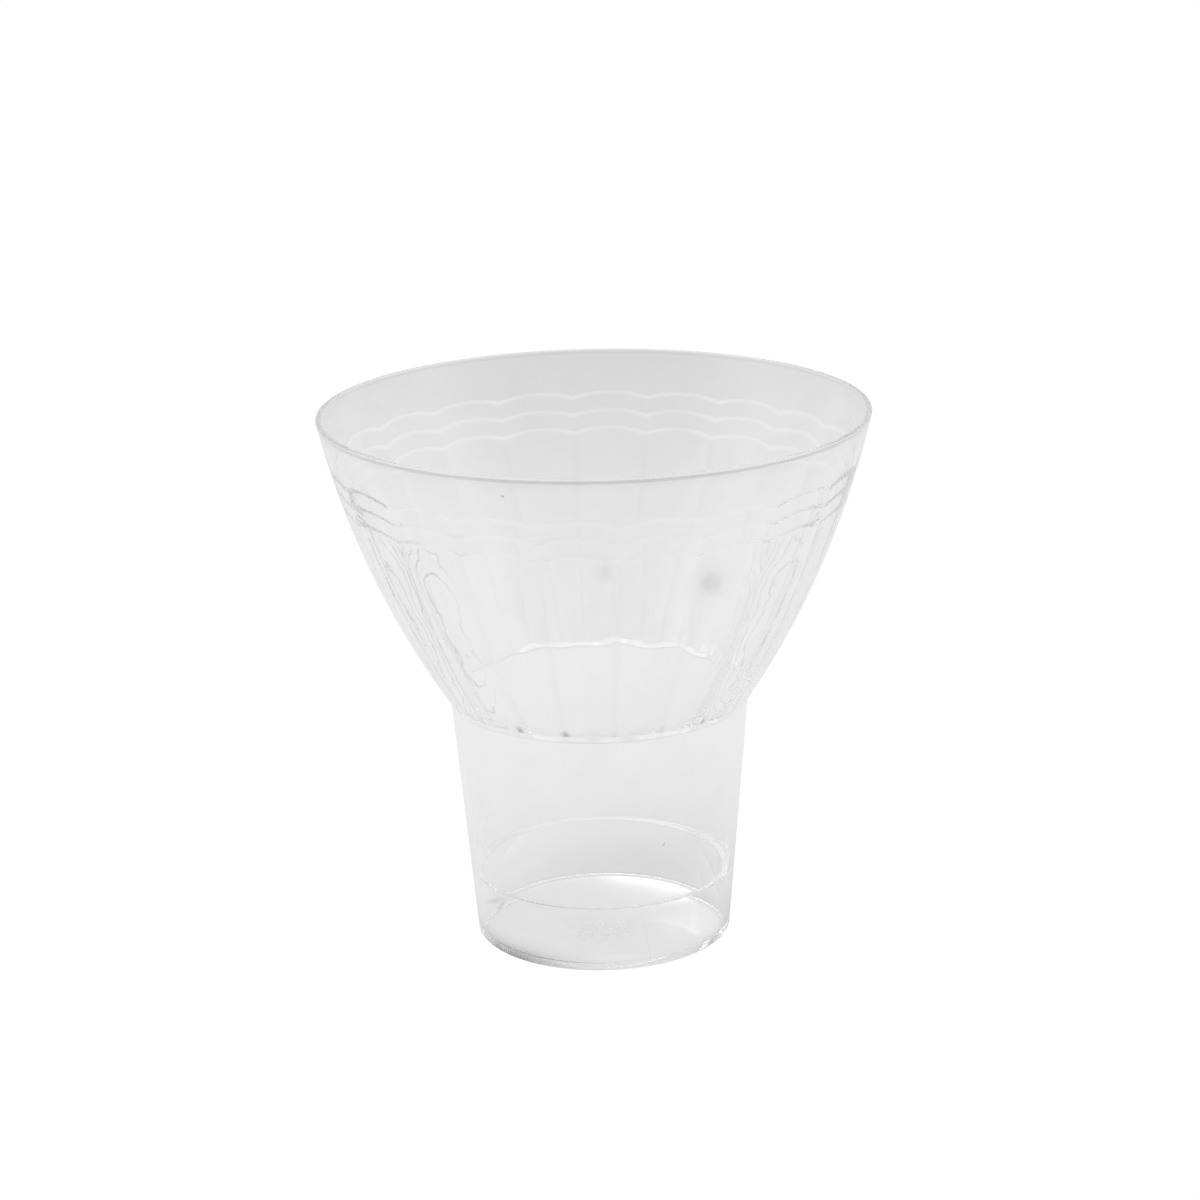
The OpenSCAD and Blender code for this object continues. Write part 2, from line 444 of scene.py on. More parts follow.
# %% Grid to mesh
def closed_mesh(name, r, z):
    """A closed mesh from the grids: x is r cos(angle), y is r sin(angle). The first and last rows
    have no radius, so each becomes one vertex with a fan of triangles."""
    rows = r.shape[0] - 2
    x = r[1:-1] * np.cos(angles)
    y = r[1:-1] * np.sin(angles)
    ring = np.stack([x, y, z[1:-1]], -1).reshape(-1, 3)
    ends = np.array([[0, 0, z[0, 0]], [0, 0, z[-1, 0]]])
    points = np.concatenate([ring, ends])
    k, c = np.meshgrid(np.arange(rows - 1), np.arange(n_cols), indexing="ij")
    d = (c + 1) % n_cols
    low, high = k * n_cols, (k + 1) * n_cols
    quads = np.stack([low + c, low + d, high + d, high + c], -1)
    c = np.arange(n_cols)
    d = (c + 1) % n_cols
    start = np.stack([np.full(n_cols, rows * n_cols), d, c], -1)
    last = (rows - 1) * n_cols
    end = np.stack([np.full(n_cols, rows * n_cols + 1), last + c, last + d], -1)
    mesh = bpy.data.meshes.new(name)
    faces = quads.reshape(-1, 4).tolist() + start.tolist() + end.tolist()
    mesh.from_pydata(points.tolist(), [], faces)
    mesh.update()
    mesh.shade_smooth()
    piece = bpy.data.objects.new(name, mesh)
    bpy.context.scene.collection.objects.link(piece)
    return piece


cup = closed_mesh("cup_wall", r_grid, z_grid)
print("cup_wall:", len(cup.data.vertices), "points,", len(cup.data.polygons), "faces")

# %% [markdown]
# ## A short way to write nodes
# Marks on the cup and light on the table are both sums of simple masks. Each could be painted, but a
# painted image isn't allowed in this part and would blur in a close view. Masks made by formula stay
# sharp, so this helper lets one line of code add one node.

# %% Node helpers
class Tree:
    """A short way to write a node tree: each call adds one node and returns its output socket."""

    def __init__(self, tree):
        self.tree = tree

    def node(self, kind, **settings):
        made = self.tree.nodes.new(kind)
        for name, value in settings.items():
            setattr(made, name, value)
        return made

    def feed(self, socket, value):
        if isinstance(value, bpy.types.NodeSocket):
            self.tree.links.new(value, socket)
        else:
            socket.default_value = value

    def math(self, operation, *values):
        made = self.node("ShaderNodeMath", operation=operation)
        for socket, value in zip(made.inputs, values):
            self.feed(socket, value)
        return made.outputs[0]

    def ramp(self, value, low, high, at_low=0.0, at_high=1.0):
        """A smooth step from at_low, where value is low, to at_high, where value is high."""
        made = self.node("ShaderNodeMapRange", interpolation_type="SMOOTHSTEP")
        for socket, entry in zip(made.inputs[:5], (value, low, high, at_low, at_high)):
            self.feed(socket, entry)
        return made.outputs[0]

    def bell(self, x, y, centre, widths):
        """A soft round spot: e to the power of minus the squared distance, counted in widths."""
        dx = self.math("DIVIDE", self.math("SUBTRACT", x, centre[0]), widths[0])
        dy = self.math("DIVIDE", self.math("SUBTRACT", y, centre[1]), widths[1])
        far = self.math("ADD", self.math("MULTIPLY", dx, dx), self.math("MULTIPLY", dy, dy))
        return self.math("EXPONENT", self.math("MULTIPLY", far, -1.0))

    def hump(self, x, centre, width):
        """The same in one direction only."""
        return self.bell(x, 0.0, (centre, 0.0), (width, 1.0))

    def total(self, *terms):
        """The terms added up."""
        made = terms[0]
        for term in terms[1:]:
            made = self.math("ADD", made, term)
        return made

    def product(self, *factors):
        """The factors multiplied."""
        made = factors[0]
        for factor in factors[1:]:
            made = self.math("MULTIPLY", made, factor)
        return made

    def blend(self, first, second, share):
        """The first where the share is 0, the second where it is 1, and a mix between."""
        rest = self.math("SUBTRACT", 1.0, share)
        return self.total(self.product(first, rest), self.product(second, share))

    def millimetres(self):
        """The point on the object, in its own coordinates, in millimetres."""
        where = self.node("ShaderNodeTexCoord")
        scaled = self.node("ShaderNodeVectorMath", operation="SCALE")
        scaled.inputs["Scale"].default_value = 1 / MM
        self.feed(scaled.inputs[0], where.outputs["Object"])
        return scaled.outputs[0]

    def around(self, x, y):
        """The turn round the axis from the front, in radians, positive to the right."""
        return self.math("ARCTAN2", x, self.math("MULTIPLY", y, -1.0))

    def far(self, x, y):
        """The distance from the axis: the root of x squared plus y squared."""
        return self.math("SQRT", self.total(self.product(x, x), self.product(y, y)))


# %% [markdown]
# ## Marks of moulding and handling, and painted shade
# The cup in the photograph is used and not quite clean. There are two finger smudges, two specks, a
# hairline in the floor, pits in the middle of the floor, a scrape low on the left, and a trace of soil
# all over. The sill, the small ledge inside the foot, is satin. The rest is painted shade. It stands
# in for the shade that the wall throws by bending light: thin dark lines down the crests between the
# flutes and along the steps, lines like wood grain in the flutes at the sides, dark tips where the
# crests meet the waist, a dark ring under the lip's outer edge that is darkest in front, and dark
# places at the foot's bottom edge that are darkest at the front left.
# All of it could be dents in the mesh, but most of these marks are finer than a sensible mesh. They
# are masks by formula instead, gathered in one node group that gives a roughness and a tint.

# %% Surface marks
# Places and widths are in millimetres, turns round the axis in radians from the front, and a shade
# is the share of light that a mark takes. A pair of pairs is a spot: its middle, then its widths.
# A pair called limit, fade or range is where a mark's ramp begins and where it ends. The scale of a
# noise is about how many blotches it has in a millimetre.
CLEAREST = 0.995
SILL_SATIN = 0.4
SILL_REACH = 0.25
SILL_LIMIT = (21.5, 21.7)
FLOOR_LIMIT = (2.0, 2.4)
FROST = 0.25
FROST_SPOT = ((0.0, -3.5), (6.5, 5.5))
PIT_SCALE = 2.4
PIT_RANGE = (0.5, 0.62)
PIT_SHADE = 0.28
FRONT_LIMIT = (-15.0, -14.0)
SMUDGE = 0.26
SMUDGE_SPOTS = ((1.0, (17.3, 70.3), (1.7, 2.2)), (0.5, (1.3, 74.0), (1.1, 1.5)))
BLOTCH_SCALE = 0.5
BLOTCH_RANGE = (0.3, 0.7)
BLOTCH_LEAST = 0.55
SPECK_SHADE = 0.5
SPECK_SPOTS = (((-13.8, 86.4), (0.2, 0.2)), ((9.8, 21.8), (0.14, 0.16)))
HAIRLINE_SHADE = 0.07
HAIRLINE_X = 6.7
HAIRLINE_WIDTH = 0.1
HAIRLINE_SLANT = 0.03
HAIRLINE_LIMIT = (-4.0, 2.0)
# Painted shade: a dark ring just under the lip's outer edge, darkest in front.
LIP_SHADE = 0.32
LIP_SHADE_BACK = 0.12
LIP_SHADE_FADE = (-38.0, 5.0)
LIP_SHADE_LOW = 1.0
LIP_SHADE_HIGH = 0.5
LIP_SHADE_SOFT = 0.15
LIP_SHADE_DEPTH = (0.7, 0.6)
# Painted shade: dark places at the foot's bottom edge, where it stands, darkest at the front left.
FOOT_SHADE = 0.85
FOOT_SHADE_RIGHT = 0.5
FOOT_LEFT_SPOT = ((-0.8, 0.0), (0.5, 2.2))
FOOT_RIGHT_SPOT = ((1.05, 0.0), (0.4, 1.6))
FOOT_LIMIT = (20.9, 21.1)
SCRAPE = 0.35
# Each stroke: its middle turn, its slant, its height carried on to turn 0, and its widths
SCRAPE_STROKES = ((-0.97, 10.2, 19.0, (0.1, 0.42)), (-0.885, 23.0, 29.05, (0.05, 0.5)))
SCRAPE_LIMIT = (21.6, 21.9)
SOIL = 0.018
SOIL_SCALE = 0.2
SOIL_RANGE = (0.4, 0.75)

# Painted shade inside the bowl: lines at the crests and the steps, grain at the sides, and tips at the
# waist.
INSIDE_LIMIT = (-0.6, -0.45)
WAIST_LIMIT = (1.2, 1.5)
MIDDLE_FADE = (-5.0, 5.0)
SLOW_SCALE = 0.12
RIDGE_SHADE = 0.04
FLANK_SHADE = 0.25
FLANK_LIMIT = (0.7, 1.1)
FLANK_FADE = (1.2, 2.2)
CREST_WIDTH = 0.11
STEP_SHADE = 0.07
STEP_MARK_DROP = 0.1
STEP_MARK_WIDTH = 0.11
GRAIN_SHADE = 0.55
GRAIN_RIGHT = 0.5
GRAIN_LIMIT = (0.55, 0.75)
GRAIN_FADE = (1.05, 1.65)
GRAIN_HILL = (60.0, 17.0)
GRAIN_ACROSS = 1.2
GRAIN_BEND = 1.6
GRAIN_LINES = 2.2
GRAIN_WIDTH = 0.07
TIP_SHADE = 0.8
TIP_LEAST = 0.2
TIP_RANGE = (0.42, 0.58)
TIP_RISE = 1.9
TIP_SIZE = (0.2, 0.7)


def noise(t, place, scale, detail=3.0, roughness=0.6):
    """The value of a noise texture at a place, about 0.5 on average."""
    made = t.node("ShaderNodeTexNoise")
    t.feed(made.inputs["Vector"], place)
    made.inputs["Scale"].default_value = scale
    made.inputs["Detail"].default_value = detail
    made.inputs["Roughness"].default_value = roughness
    return made.outputs[0]


def outer_radius(t, z):
    """The bowl's outer radius in nodes: the same cubic as bowl_out, summed up from its powers of s."""
    rise = BOWL_H / MM
    w, e = WAIST_R / MM, RIM_R / MM
    s = t.math("DIVIDE", t.math("SUBTRACT", z, WAIST_Z / MM), rise)
    cube = 2 * w + WAIST_LEAN * rise - 2 * e + RIM_LEAN * rise
    square = -3 * w - 2 * WAIST_LEAN * rise + 3 * e - RIM_LEAN * rise
    r = t.math("MULTIPLY_ADD", s, cube, square)
    r = t.math("MULTIPLY_ADD", s, r, WAIST_LEAN * rise)
    return t.math("MULTIPLY_ADD", s, r, w)


def grain_lines(t, slow, z, u2):
    """Lines like wood grain: the contour lines of a long round hill in each flute, bent by noise."""
    hill = t.math("DIVIDE", t.math("SUBTRACT", z, GRAIN_HILL[0]), GRAIN_HILL[1])
    hill = t.math("MULTIPLY_ADD", hill, hill, t.product(u2, GRAIN_ACROSS))
    hill = t.math("MULTIPLY_ADD", slow, GRAIN_BEND, hill)
    cut = t.math("SUBTRACT", t.math("FRACT", t.product(hill, GRAIN_LINES)), 0.5)
    return t.hump(t.math("ABSOLUTE", cut), 0.0, GRAIN_WIDTH)


def painted_flute_shade(t, place, x, y, z, r):
    """How dark the painted shade on the bowl's inside is. It stands in for the shade that the wall's
    crests, steps and edges throw by bending light: thin lines at the crests that part the flutes and
    at the edges of the steps, lines like grain in the flutes at the sides, and the dark tips of the
    crests at the waist."""
    waist = WAIST_Z / MM
    first = (CUP_H - LIP_BAND) / MM
    pitch = STEP_PITCH / MM
    turn = t.math("ABSOLUTE", t.around(x, y))
    angle = t.math("SUBTRACT", t.math("ARCTAN2", y, x), RIDGE_TURN)
    flute = t.math("DIVIDE", angle, 2 * np.pi / FLUTE_COUNT)
    u = t.math("MULTIPLY_ADD", t.math("FRACT", flute), 2.0, -1.0)
    u2 = t.product(u, u)
    side = t.math("SUBTRACT", 1.0, t.math("ABSOLUTE", u))
    inside = t.ramp(t.math("SUBTRACT", r, outer_radius(t, z)), *INSIDE_LIMIT, 1.0, 0.0)
    inside = t.product(inside, t.ramp(z, waist + WAIST_LIMIT[0], waist + WAIST_LIMIT[1]))
    last = STEP_COUNT * pitch
    under = t.ramp(z, first - last, first - last + pitch, 1.0, 0.0)
    slow = noise(t, place, SLOW_SCALE)

    flank = t.product(t.ramp(turn, *FLANK_LIMIT), t.ramp(turn, *FLANK_FADE, FLANK_SHADE, 0.0))
    crest = t.product(t.total(flank, RIDGE_SHADE), t.hump(side, 0.0, CREST_WIDTH), under)

    drop = t.math("MULTIPLY_ADD", u2, STEP_ARCH / MM, t.math("SUBTRACT", z, first))
    falls = [-n * pitch - STEP_MARK_DROP for n in range(STEP_COUNT)]
    edge = t.product(t.total(*[t.hump(drop, fall, STEP_MARK_WIDTH) for fall in falls]), STEP_SHADE)

    sides = t.product(t.ramp(turn, *GRAIN_LIMIT), t.ramp(turn, *GRAIN_FADE, 1.0, 0.0))
    strength = t.ramp(x, *MIDDLE_FADE, GRAIN_SHADE, GRAIN_RIGHT * GRAIN_SHADE)
    grain = t.product(grain_lines(t, slow, z, u2), sides, strength, under)

    tip = t.bell(side, z, (0.0, waist + TIP_RISE), TIP_SIZE)
    uneven = t.ramp(slow, *TIP_RANGE, TIP_LEAST, TIP_SHADE)
    tip = t.product(tip, uneven, t.ramp(y, *MIDDLE_FADE, 1.0, 0.0))
    return t.product(t.total(crest, edge, grain, tip), inside)


def hand_marks(t, place, x, y, z):
    """How dark the smudges and specks on the front are."""
    front = t.ramp(y, *FRONT_LIMIT, 1.0, 0.0)
    smudges = [t.product(t.bell(x, z, *spot), share) for share, *spot in SMUDGE_SPOTS]
    blotch = t.ramp(noise(t, place, BLOTCH_SCALE, 2.0), *BLOTCH_RANGE, BLOTCH_LEAST, 1.0)
    smudge = t.product(t.total(*smudges), blotch, SMUDGE)
    specks = t.total(*[t.bell(x, z, *spot) for spot in SPECK_SPOTS])
    return t.product(t.total(smudge, t.product(specks, SPECK_SHADE)), front)


def painted_lip_shade(t, y, z, r):
    """How dark the painted shade in the ring just under the lip's outer edge is: darkest in front."""
    top, rim = CUP_H / MM, RIM_R / MM
    low, high = top - LIP_SHADE_LOW, top - LIP_SHADE_HIGH
    ring = t.product(
        t.ramp(z, low, low + LIP_SHADE_SOFT),
        t.ramp(z, high, high + LIP_SHADE_SOFT, 1.0, 0.0),
        t.ramp(r, rim - LIP_SHADE_DEPTH[0], rim - LIP_SHADE_DEPTH[1]),
    )
    return t.product(ring, t.ramp(y, *LIP_SHADE_FADE, LIP_SHADE, LIP_SHADE_BACK))


def foot_shade_and_scrape(t, x, y, z, r):
    """How dark the foot's marks are: painted shade at the bottom edge, where the foot stands, and a
    scrape low on the left, made of two short strokes that slant up to the right."""
    turn = t.around(x, y)
    foot_edge_shade = t.total(
        t.product(t.bell(turn, z, *FOOT_LEFT_SPOT), FOOT_SHADE),
        t.product(t.bell(turn, z, *FOOT_RIGHT_SPOT), FOOT_SHADE * FOOT_SHADE_RIGHT),
    )
    strokes = []
    for middle, slant, start, widths in SCRAPE_STROKES:
        off = t.math("SUBTRACT", z, t.math("MULTIPLY_ADD", turn, slant, start))
        strokes.append(t.bell(turn, off, (middle, 0.0), widths))
    scrape = t.product(t.total(*strokes), t.ramp(r, *SCRAPE_LIMIT), SCRAPE)
    return t.total(t.product(foot_edge_shade, t.ramp(r, *FOOT_LIMIT)), scrape)


def marks_and_painted_shade():
    """Node group: from a point of the cup, in millimetres, to its roughness and its tint. The sill and
    the frosted middle of the floor are rough. All the other marks only take light away. Those at the
    lip, at the foot's bottom edge and in the flutes are painted shade."""
    group = bpy.data.node_groups.new("marks_and_painted_shade", "ShaderNodeTree")
    group.interface.new_socket("Place", in_out="INPUT", socket_type="NodeSocketVector")
    group.interface.new_socket("Roughness", in_out="OUTPUT", socket_type="NodeSocketFloat")
    group.interface.new_socket("Tint", in_out="OUTPUT", socket_type="NodeSocketColor")
    t = Tree(group)
    start = t.node("NodeGroupInput")
    end = t.node("NodeGroupOutput")
    place = start.outputs[0]
    split = t.node("ShaderNodeSeparateXYZ")
    t.feed(split.inputs[0], place)
    x, y, z = split.outputs["X"], split.outputs["Y"], split.outputs["Z"]
    r = t.far(x, y)

    sill = t.product(t.hump(z, SILL_Z / MM, SILL_REACH), t.ramp(r, *SILL_LIMIT, 1.0, 0.0))
    low = t.ramp(z, *FLOOR_LIMIT, 1.0, 0.0)
    pits = t.ramp(noise(t, place, PIT_SCALE, 2.0, 0.7), *PIT_RANGE)
    frost = t.product(t.bell(x, y, *FROST_SPOT), low, pits)
    t.feed(end.inputs[0], t.total(t.product(sill, SILL_SATIN), t.product(frost, FROST)))

    across = t.math("MULTIPLY_ADD", y, HAIRLINE_SLANT, x)
    hairline = t.hump(across, HAIRLINE_X, HAIRLINE_WIDTH)
    hairline = t.product(hairline, t.ramp(y, *HAIRLINE_LIMIT, 1.0, 0.0))
    soil = t.product(t.ramp(noise(t, place, SOIL_SCALE, 5.0), *SOIL_RANGE), SOIL)
    dark = t.total(
        hand_marks(t, place, x, y, z),
        t.product(hairline, low, HAIRLINE_SHADE),
        t.product(frost, PIT_SHADE),
        soil,
        painted_lip_shade(t, y, z, r),
        foot_shade_and_scrape(t, x, y, z, r),
        painted_flute_shade(t, place, x, y, z, r),
    )
    keep = t.math("SUBTRACT", CLEAREST, dark)
    colour = t.node("ShaderNodeCombineColor")
    for socket in colour.inputs[:3]:
        t.feed(socket, keep)
    t.feed(end.inputs[1], colour.outputs[0])
    return group


# %% [markdown]
# ## Clear plastic
# Clear polystyrene bends light strongly: its index is 1.59. Light that enters at the lip can bounce
# inside the wall for a long way, and that makes the lip pale in the photograph and not black. So the
# grey of the plastic is very weak, and the ray limits further down are high. A Glass shader would
# do, but a Principled one keeps its index and its transmission as plain numbers when the model is
# exported. Lamp rays go straight through a Transparent shader, because true caustics would take
# hours. The patterns that they throw under the cup are drawn on the table instead.

# %% Material
CLEAR_IOR = 1.59
SHADOW = (0.9, 0.9, 0.9, 1)
GREY_COLOUR = (0.6, 0.61, 0.6, 1)
GREY_DENSITY = 0.5


def clear_plastic():
    """Clear rigid plastic: a Principled shader that lets all light in, with a Transparent one for
    rays from lamps, so that the cup's shadow is as pale as the real one's."""
    mat = bpy.data.materials.new("clear_plastic")
    mat.use_nodes = True
    mat.node_tree.nodes.clear()
    t = Tree(mat.node_tree)
    out = t.node("ShaderNodeOutputMaterial")
    bsdf = t.node("ShaderNodeBsdfPrincipled")
    bsdf.inputs["Transmission Weight"].default_value = 1
    bsdf.inputs["IOR"].default_value = CLEAR_IOR
    marks = t.node("ShaderNodeGroup", node_tree=marks_and_painted_shade())
    t.feed(marks.inputs[0], t.millimetres())
    t.feed(bsdf.inputs["Roughness"], marks.outputs["Roughness"])
    t.feed(bsdf.inputs["Base Color"], marks.outputs["Tint"])
    path = t.node("ShaderNodeLightPath")
    through = t.node("ShaderNodeBsdfTransparent")
    through.inputs["Color"].default_value = SHADOW
    mix = t.node("ShaderNodeMixShader")
    t.feed(mix.inputs[0], path.outputs["Is Shadow Ray"])
    t.feed(mix.inputs[1], bsdf.outputs[0])
    t.feed(mix.inputs[2], through.outputs[0])
    t.feed(out.inputs["Surface"], mix.outputs[0])
    grey = t.node("ShaderNodeVolumeAbsorption")
    grey.inputs["Color"].default_value = GREY_COLOUR
    grey.inputs["Density"].default_value = GREY_DENSITY
    t.feed(out.inputs["Volume"], grey.outputs[0])
    return mat


cup.data.materials.append(clear_plastic())
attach(cup, "root")
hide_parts("bowl", "foot")

# %% [markdown]
# ## Light on the table
# The photograph has a pure white ground, yet the table seen through the cup is grey with bright
# patterns: a crescent against the back wall, a bright right side, a thin arc, and a dark ring where
# the foot touches. The real cup gathers that light itself. Tracing it would need many thousands of
# rays a pixel, so the table glows by a formula in millimetres, and it shows that glow only to rays
# that have met the cup. To the camera's own rays it is plain white.

# %% Table light
# Places and widths are in millimetres, turns in radians round the axis from the back.
FLOOR_SEEN = 1.02
POOL_NEAR = 0.86
POOL_DROP = 0.13
POOL_EDGE = (170.0, 450.0)
FAR_RISE = 0.1
FAR_EDGE = (600.0, 1800.0)
SHADOW_START = 21.0
SHADOW_REACH = 32.0
SHADOW_SIDES = (-25.0, 25.0)
SHADOW_DEPTH = (0.14, 0.26)
UNDER = 0.785
UNDER_TILT = 0.0016
CRESCENT = 0.75
CRESCENT_FAINT = 0.12
CRESCENT_START = (-0.2, 0.4)
FAINT_START = (-0.9, -0.1)
CRESCENT_STOP = (0.75, 1.05)
CRESCENT_EDGE = 19.2
CRESCENT_DEPTH = 2.8
RIGHT_LIGHT = 0.1
RIGHT_SPOT = ((16.0, 1.0), (6.0, 9.0))
FRONT_LIGHT = 0.07
FRONT_SPOT = ((1.2, -16.0), (4.5, 1.8))
ARC_LIGHT = 0.12
ARC_MIDDLE = (5.0, -8.0)
ARC_RADIUS = 10.0
ARC_OUT = 1.6
ARC_IN = -0.3
ARC_START = (0.05, 0.5)
ARC_STOP = (1.2, 1.7)
CONTACT = 0.7
CONTACT_DARK = 0.42
CONTACT_FRONT = (-2.5, 0.55)
CONTACT_EDGE = (18.9, 19.7)
PAST_EDGE = (21.2, 21.8)


def pool_light(t, x, r):
    """The pool of light round the cup, less the cup's pale shadow, which fades outwards and is
    deeper to the right."""
    pool = t.math("SUBTRACT", POOL_NEAR, t.ramp(r, *POOL_EDGE, 0.0, POOL_DROP))
    pool = t.math("ADD", pool, t.ramp(r, *FAR_EDGE, 0.0, FAR_RISE))
    near = t.math("DIVIDE", t.math("SUBTRACT", SHADOW_START, r), SHADOW_REACH)
    shadow = t.product(t.math("EXPONENT", near), t.ramp(x, *SHADOW_SIDES, *SHADOW_DEPTH))
    return t.product(pool, t.math("SUBTRACT", 1.0, shadow))


def thrown_arc(t, x, y):
    """A thin arc of light that is sharp on its inner side and soft on its outer one."""
    ax, ay = t.math("SUBTRACT", x, ARC_MIDDLE[0]), t.math("SUBTRACT", y, ARC_MIDDLE[1])
    ring = t.math("SUBTRACT", t.far(ax, ay), ARC_RADIUS)
    off = t.math("MAXIMUM", t.math("DIVIDE", ring, ARC_OUT), t.math("DIVIDE", ring, ARC_IN))
    turn = t.math("ARCTAN2", ax, ay)
    along = t.product(t.ramp(turn, *ARC_START), t.ramp(turn, *ARC_STOP, 1.0, 0.0))
    return t.product(t.math("EXPONENT", t.product(off, -1.0)), along)


def light_under(t, x, y, r, turn):
    """The light under the floor: a crescent against the back wall, a bright right side, a small
    spot in front and the thrown arc, on a ground that tilts a little."""
    close = t.ramp(turn, *CRESCENT_STOP, 1.0, 0.0)
    window = t.product(t.ramp(turn, *CRESCENT_START), close, CRESCENT)
    faint = t.product(t.ramp(turn, *FAINT_START), close, CRESCENT_FAINT)
    inwards = t.math("MINIMUM", t.math("SUBTRACT", r, CRESCENT_EDGE), 0.0)
    depth = t.math("EXPONENT", t.math("DIVIDE", inwards, CRESCENT_DEPTH))
    return t.total(
        t.product(depth, t.total(window, faint)),
        t.product(t.bell(x, y, *RIGHT_SPOT), RIGHT_LIGHT),
        t.product(t.bell(x, y, *FRONT_SPOT), FRONT_LIGHT),
        t.product(thrown_arc(t, x, y), ARC_LIGHT),
        t.product(x, UNDER_TILT),
        UNDER,
    )


def table_light():
    """Node group: how bright the table looks from a point on it, given in millimetres. The ring
    where the foot touches is darker, most of all at the front left."""
    group = bpy.data.node_groups.new("table_light", "ShaderNodeTree")
    group.interface.new_socket("Place", in_out="INPUT", socket_type="NodeSocketVector")
    group.interface.new_socket("Light", in_out="OUTPUT", socket_type="NodeSocketFloat")
    t = Tree(group)
    start = t.node("NodeGroupInput")
    end = t.node("NodeGroupOutput")
    split = t.node("ShaderNodeSeparateXYZ")
    t.feed(split.inputs[0], start.outputs[0])
    x, y = split.outputs["X"], split.outputs["Y"]
    r = t.far(x, y)
    turn = t.math("ARCTAN2", x, y)
    dark = t.product(t.hump(turn, *CONTACT_FRONT), CONTACT_DARK)
    contact = t.math("SUBTRACT", CONTACT, dark)
    light = t.blend(light_under(t, x, y, r, turn), contact, t.ramp(r, *CONTACT_EDGE))
    light = t.blend(light, pool_light(t, x, r), t.ramp(r, *PAST_EDGE))
    t.feed(end.inputs[0], light)
    return group


def table_material():
    """White to the eye, and the light of the formula to every ray that has met the cup."""
    mat = bpy.data.materials.new("table_white")
    mat.use_nodes = True
    mat.node_tree.nodes.clear()
    t = Tree(mat.node_tree)
    out = t.node("ShaderNodeOutputMaterial")
    glow = t.node("ShaderNodeEmission")
    path = t.node("ShaderNodeLightPath")
    light = t.node("ShaderNodeGroup", node_tree=table_light())
    t.feed(light.inputs[0], t.millimetres())
    mix = t.node("ShaderNodeMix", data_type="FLOAT")
    t.feed(mix.inputs[0], path.outputs["Is Camera Ray"])
    t.feed(mix.inputs[2], light.outputs[0])
    t.feed(mix.inputs[3], FLOOR_SEEN)
    t.feed(glow.inputs["Strength"], mix.outputs[0])
    t.feed(out.inputs[0], glow.outputs[0])
    return mat


# %% [markdown]
# ## Table
# One large square just under the foot is enough. It isn't attached to the cup's body.

# %% Table
TABLE_SIZE = 8.0
TABLE_GAP = 0.1 * MM

half = TABLE_SIZE / 2
corners = [(-half, -half, 0), (half, -half, 0), (half, half, 0), (-half, half, 0)]
mesh = bpy.data.meshes.new("table")
mesh.from_pydata(corners, [], [(0, 1, 2, 3)])
table = bpy.data.objects.new("table", mesh)
table.location.z = -TABLE_GAP
bpy.context.scene.collection.objects.link(table)
mesh.materials.append(table_material())
print(f"table: {TABLE_SIZE:.0f} m square, {TABLE_GAP / MM:.1f} mm under the foot")

# %% [markdown]
# ## World
# A light tent surrounds the cup. It could be built from walls, but the cup only needs to know how
# bright each direction is. The side where the photographer stands is darker, as it is in a real
# studio, and that gives the soft grey lines along the wall's edges. Everything else is nearly even.

# %% World
SKY_STOPS = ((0.0, 0.84), (0.4, 0.8), (1.0, 0.8))
DARK_SIDE = (0.0, -0.98, 0.2)
DARK_STRENGTH = 0.4
DARK_RANGE = (0.2, 0.9)


def studio_world():
    """A light tent: a little paler at the horizon, with one darker side in front. The direction's
    height drives the first, and its agreement with the dark side drives the second."""
    world = bpy.data.worlds.new("studio")
    world.use_nodes = True
    world.node_tree.nodes.clear()
    t = Tree(world.node_tree)
    out = t.node("ShaderNodeOutputWorld")
    sky = t.node("ShaderNodeBackground")
    way = t.node("ShaderNodeTexCoord")
    split = t.node("ShaderNodeSeparateXYZ")
    t.feed(split.inputs[0], way.outputs["Generated"])
    tone = t.node("ShaderNodeValToRGB")
    tone.color_ramp.interpolation = "EASE"
    while len(tone.color_ramp.elements) < len(SKY_STOPS):
        tone.color_ramp.elements.new(0.5)
    for element, (at, value) in zip(tone.color_ramp.elements, SKY_STOPS):
        element.position = at
        element.color = (value, value, value, 1)
    t.feed(tone.inputs[0], split.outputs["Z"])
    side = t.node("ShaderNodeVectorMath", operation="DOT_PRODUCT")
    side.inputs[1].default_value = DARK_SIDE
    t.feed(side.inputs[0], way.outputs["Generated"])
    dark = t.ramp(side.outputs["Value"], *DARK_RANGE, 1.0, DARK_STRENGTH)
    t.feed(sky.inputs["Color"], tone.outputs[0])
    t.feed(sky.inputs["Strength"], dark)
    t.feed(out.inputs[0], sky.outputs[0])
    return world


bpy.context.scene.world = studio_world()

# %% [markdown]
# ## Lamp
# Two long narrow softboxes, high on the left and high in front, make the bright band at the back of
# the waist. The shoulder there works as a prism: it catches light inside the wall and turns it to
# the camera. The lamps are placed along the arc of directions that the shoulder turns that way.
# Their plain reflections are switched off, because they would put blobs on the flutes that the
# photograph doesn't have.

